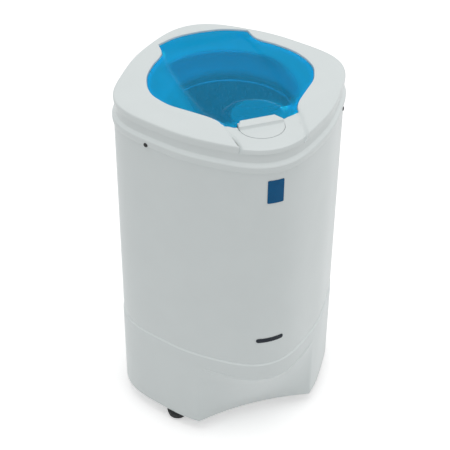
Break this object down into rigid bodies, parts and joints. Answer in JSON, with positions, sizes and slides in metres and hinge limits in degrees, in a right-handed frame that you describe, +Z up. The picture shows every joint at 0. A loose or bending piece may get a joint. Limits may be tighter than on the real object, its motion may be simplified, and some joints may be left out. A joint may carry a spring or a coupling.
{
  "type": "laundry spin dryer",
  "caption": "Free-standing upright spin dryer: soft-square white column with a scooped base, a tinted lid hinged in the top ring and a perforated basket on a vertical shaft.",
  "frame": {"origin": "on the floor under the centre of the column", "axes": "+Z up, -Y towards the latch corner, +X to the right of someone who faces the latch"},
  "size_m": [0.425, 0.449, 0.681],
  "materials": {
    "white_plastic": "moulded, satin gloss",
    "blue_clear": "tinted transparent, polished",
    "black_rubber": "matt",
    "black_plastic": "matt moulded",
    "steel": "zinc plated",
    "stainless": "brushed",
    "lamination": "oiled",
    "cast_aluminium": "as cast",
    "galvanised": "galvanised sheet",
    "copper": "enamelled wire",
    "label_blue": "printed film",
    "badge_grey": "printed film"
  },
  "bodies": {
    "machine": {"base": "white_plastic", "cabinet": "white_plastic", "collar": "white_plastic", "top_ring": "white_plastic", "latch_panel": "white_plastic", "tub_funnel": "white_plastic", "outer_tub": "white_plastic", "foot_front_left": "black_rubber", "foot_front_right": "black_rubber", "foot_rear_left": "black_rubber", "foot_rear_right": "black_rubber", "drain_elbow": "black_rubber", "tub_seal": "black_rubber", "brake_cable": "black_rubber", "collar_screw_front_left": "black_plastic", "collar_screw_front_right": "black_plastic", "collar_screw_rear_left": "black_plastic", "collar_screw_rear_right": "black_plastic", "lid_switch": "black_plastic", "drain_spout": "black_plastic", "cord_gland": "black_plastic", "capacitor_clamp": "black_plastic", "terminal_block": "black_plastic", "latch_pin": "steel", "latch_spring": "steel", "hinge_pin_left": "steel", "hinge_pin_right": "steel", "bearing_lower": "steel", "bearing_upper": "steel", "suspension_spring_1": "steel", "suspension_spring_2": "steel", "suspension_spring_3": "steel", "suspension_stud_1": "steel", "suspension_stud_2": "steel", "suspension_stud_3": "steel", "brake_spring": "steel", "stator": "lamination", "shaft_bush": "cast_aluminium", "motor_bottom_cover": "cast_aluminium", "motor_top_cover": "cast_aluminium", "motor_housing": "galvanised", "motor_plate": "galvanised", "capacitor": "galvanised", "winding_lower": "copper", "winding_upper": "copper", "label_plate": "label_blue", "badge_bar": "badge_grey"},
    "lid": {"lid": "blue_clear"},
    "latch": {"latch_lever": "white_plastic"},
    "plunger": {"switch_plunger": "white_plastic"},
    "brake": {"brake_lever": "lamination"},
    "spin": {"basket": "stainless", "basket_hub": "cast_aluminium", "hub_nut": "stainless", "spin_shaft": "steel", "brake_drum": "cast_aluminium", "rotor": "lamination", "cooling_fan": "black_plastic"}
  },
  "joints": [
    {"name": "lid_hinge", "type": "hinge", "parent": "machine", "child": "lid", "pos_m": [0, 0.163, 0.6701], "axis": [-1, 0, 0], "range_deg": [0, 92]},
    {"name": "latch_rock", "type": "hinge", "parent": "machine", "child": "latch", "pos_m": [0, -0.15, 0.666], "axis": [1, 0, 0], "range_deg": [0, 6], "stiffness_Nm_per_rad": 1.2, "deforming": ["latch_spring"]},
    {"name": "switch_travel", "type": "slide", "parent": "machine", "child": "plunger", "axis": [0, 0, 1], "range_m": [0, 0.0025]},
    {"name": "brake_swing", "type": "hinge", "parent": "machine", "child": "brake", "pos_m": [0.072, 0.026, 0.207], "axis": [0, 0, -1], "range_deg": [0, 2.5]},
    {"name": "basket_spin", "type": "hinge", "parent": "machine", "child": "spin", "pos_m": [0, 0, 0.3], "axis": [0, 0, 1], "continuous": true}
  ],
  "couplings": [
    {"joint": "switch_travel", "follows": "lid_hinge", "m_per_rad": 0.0015},
    {"joint": "brake_swing", "follows": "lid_hinge", "ratio": 0.026}
  ]
}
